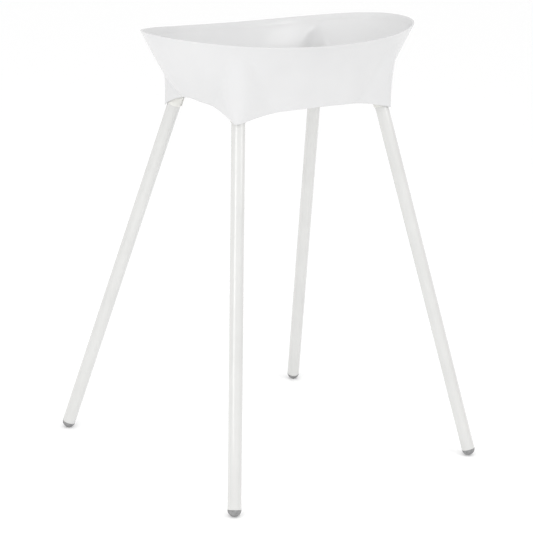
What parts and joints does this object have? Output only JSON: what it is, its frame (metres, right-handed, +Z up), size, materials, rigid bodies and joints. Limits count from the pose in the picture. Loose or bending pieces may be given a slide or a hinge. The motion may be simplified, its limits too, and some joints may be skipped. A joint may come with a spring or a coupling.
{
  "type": "baby bath stand",
  "caption": "Free-standing holder for a baby bathtub: a flared oval ring with corner posts, open above and below, on splayed tube legs that plug into sockets.",
  "frame": {"origin": "on the floor, under the middle of the holder", "axes": "+Z up, +X along the holder's length to the right, +Y to the rear"},
  "size_m": [0.7068, 0.682, 0.979],
  "materials": {
    "holder": "satin moulded white",
    "socket": "satin moulded off-white",
    "leg": "gloss white powder coat on steel tube",
    "tube_plug": "natural moulded",
    "foot_cap": "matt grey rubber",
    "spring": "spring steel",
    "button": "smooth",
    "screw": "zinc plated"
  },
  "bodies": {
    "holder": {"holder_shell": "holder", "socket_screws": "screw", "leg_socket_front_left": "socket", "leg_socket_front_right": "socket", "leg_socket_rear_left": "socket", "leg_socket_rear_right": "socket"},
    "leg_front_left": {"leg_tube_front_left": "leg", "tube_plug_front_left": "tube_plug", "foot_cap_front_left": "foot_cap", "snap_spring_front_left": "spring"},
    "button_front_left": {"snap_button_front_left": "button"},
    "leg_front_right": {"leg_tube_front_right": "leg", "tube_plug_front_right": "tube_plug", "foot_cap_front_right": "foot_cap", "snap_spring_front_right": "spring"},
    "button_front_right": {"snap_button_front_right": "button"},
    "leg_rear_left": {"leg_tube_rear_left": "leg", "tube_plug_rear_left": "tube_plug", "foot_cap_rear_left": "foot_cap", "snap_spring_rear_left": "spring"},
    "button_rear_left": {"snap_button_rear_left": "button"},
    "leg_rear_right": {"leg_tube_rear_right": "leg", "tube_plug_rear_right": "tube_plug", "foot_cap_rear_right": "foot_cap", "snap_spring_rear_right": "spring"},
    "button_rear_right": {"snap_button_rear_right": "button"}
  },
  "joints": [
    {"name": "leg_slide_front_left", "type": "slide", "parent": "holder", "child": "leg_front_left", "axis": [-0.1664, -0.2527, -0.9531], "range_m": [0, 0.084]},
    {"name": "leg_slide_front_right", "type": "slide", "parent": "holder", "child": "leg_front_right", "axis": [0.1664, -0.2527, -0.9531], "range_m": [0, 0.084]},
    {"name": "leg_slide_rear_left", "type": "slide", "parent": "holder", "child": "leg_rear_left", "axis": [-0.1664, 0.2527, -0.9531], "range_m": [0, 0.084]},
    {"name": "leg_slide_rear_right", "type": "slide", "parent": "holder", "child": "leg_rear_right", "axis": [0.1664, 0.2527, -0.9531], "range_m": [0, 0.084]},
    {"name": "button_press_front_left", "type": "slide", "parent": "leg_front_left", "child": "button_front_left", "axis": [-0.5243, -0.7959, 0.3025], "range_m": [0, 0.0045], "stiffness_N_per_m": 900, "springref_m": -0.002, "deforming": ["snap_spring_front_left"]},
    {"name": "button_press_front_right", "type": "slide", "parent": "leg_front_right", "child": "button_front_right", "axis": [0.5243, -0.7959, 0.3025], "range_m": [0, 0.0045], "stiffness_N_per_m": 900, "springref_m": -0.002, "deforming": ["snap_spring_front_right"]},
    {"name": "button_press_rear_left", "type": "slide", "parent": "leg_rear_left", "child": "button_rear_left", "axis": [-0.5243, 0.7959, 0.3025], "range_m": [0, 0.0045], "stiffness_N_per_m": 900, "springref_m": -0.002, "deforming": ["snap_spring_rear_left"]},
    {"name": "button_press_rear_right", "type": "slide", "parent": "leg_rear_right", "child": "button_rear_right", "axis": [0.5243, 0.7959, 0.3025], "range_m": [0, 0.0045], "stiffness_N_per_m": 900, "springref_m": -0.002, "deforming": ["snap_spring_rear_right"]}
  ]
}
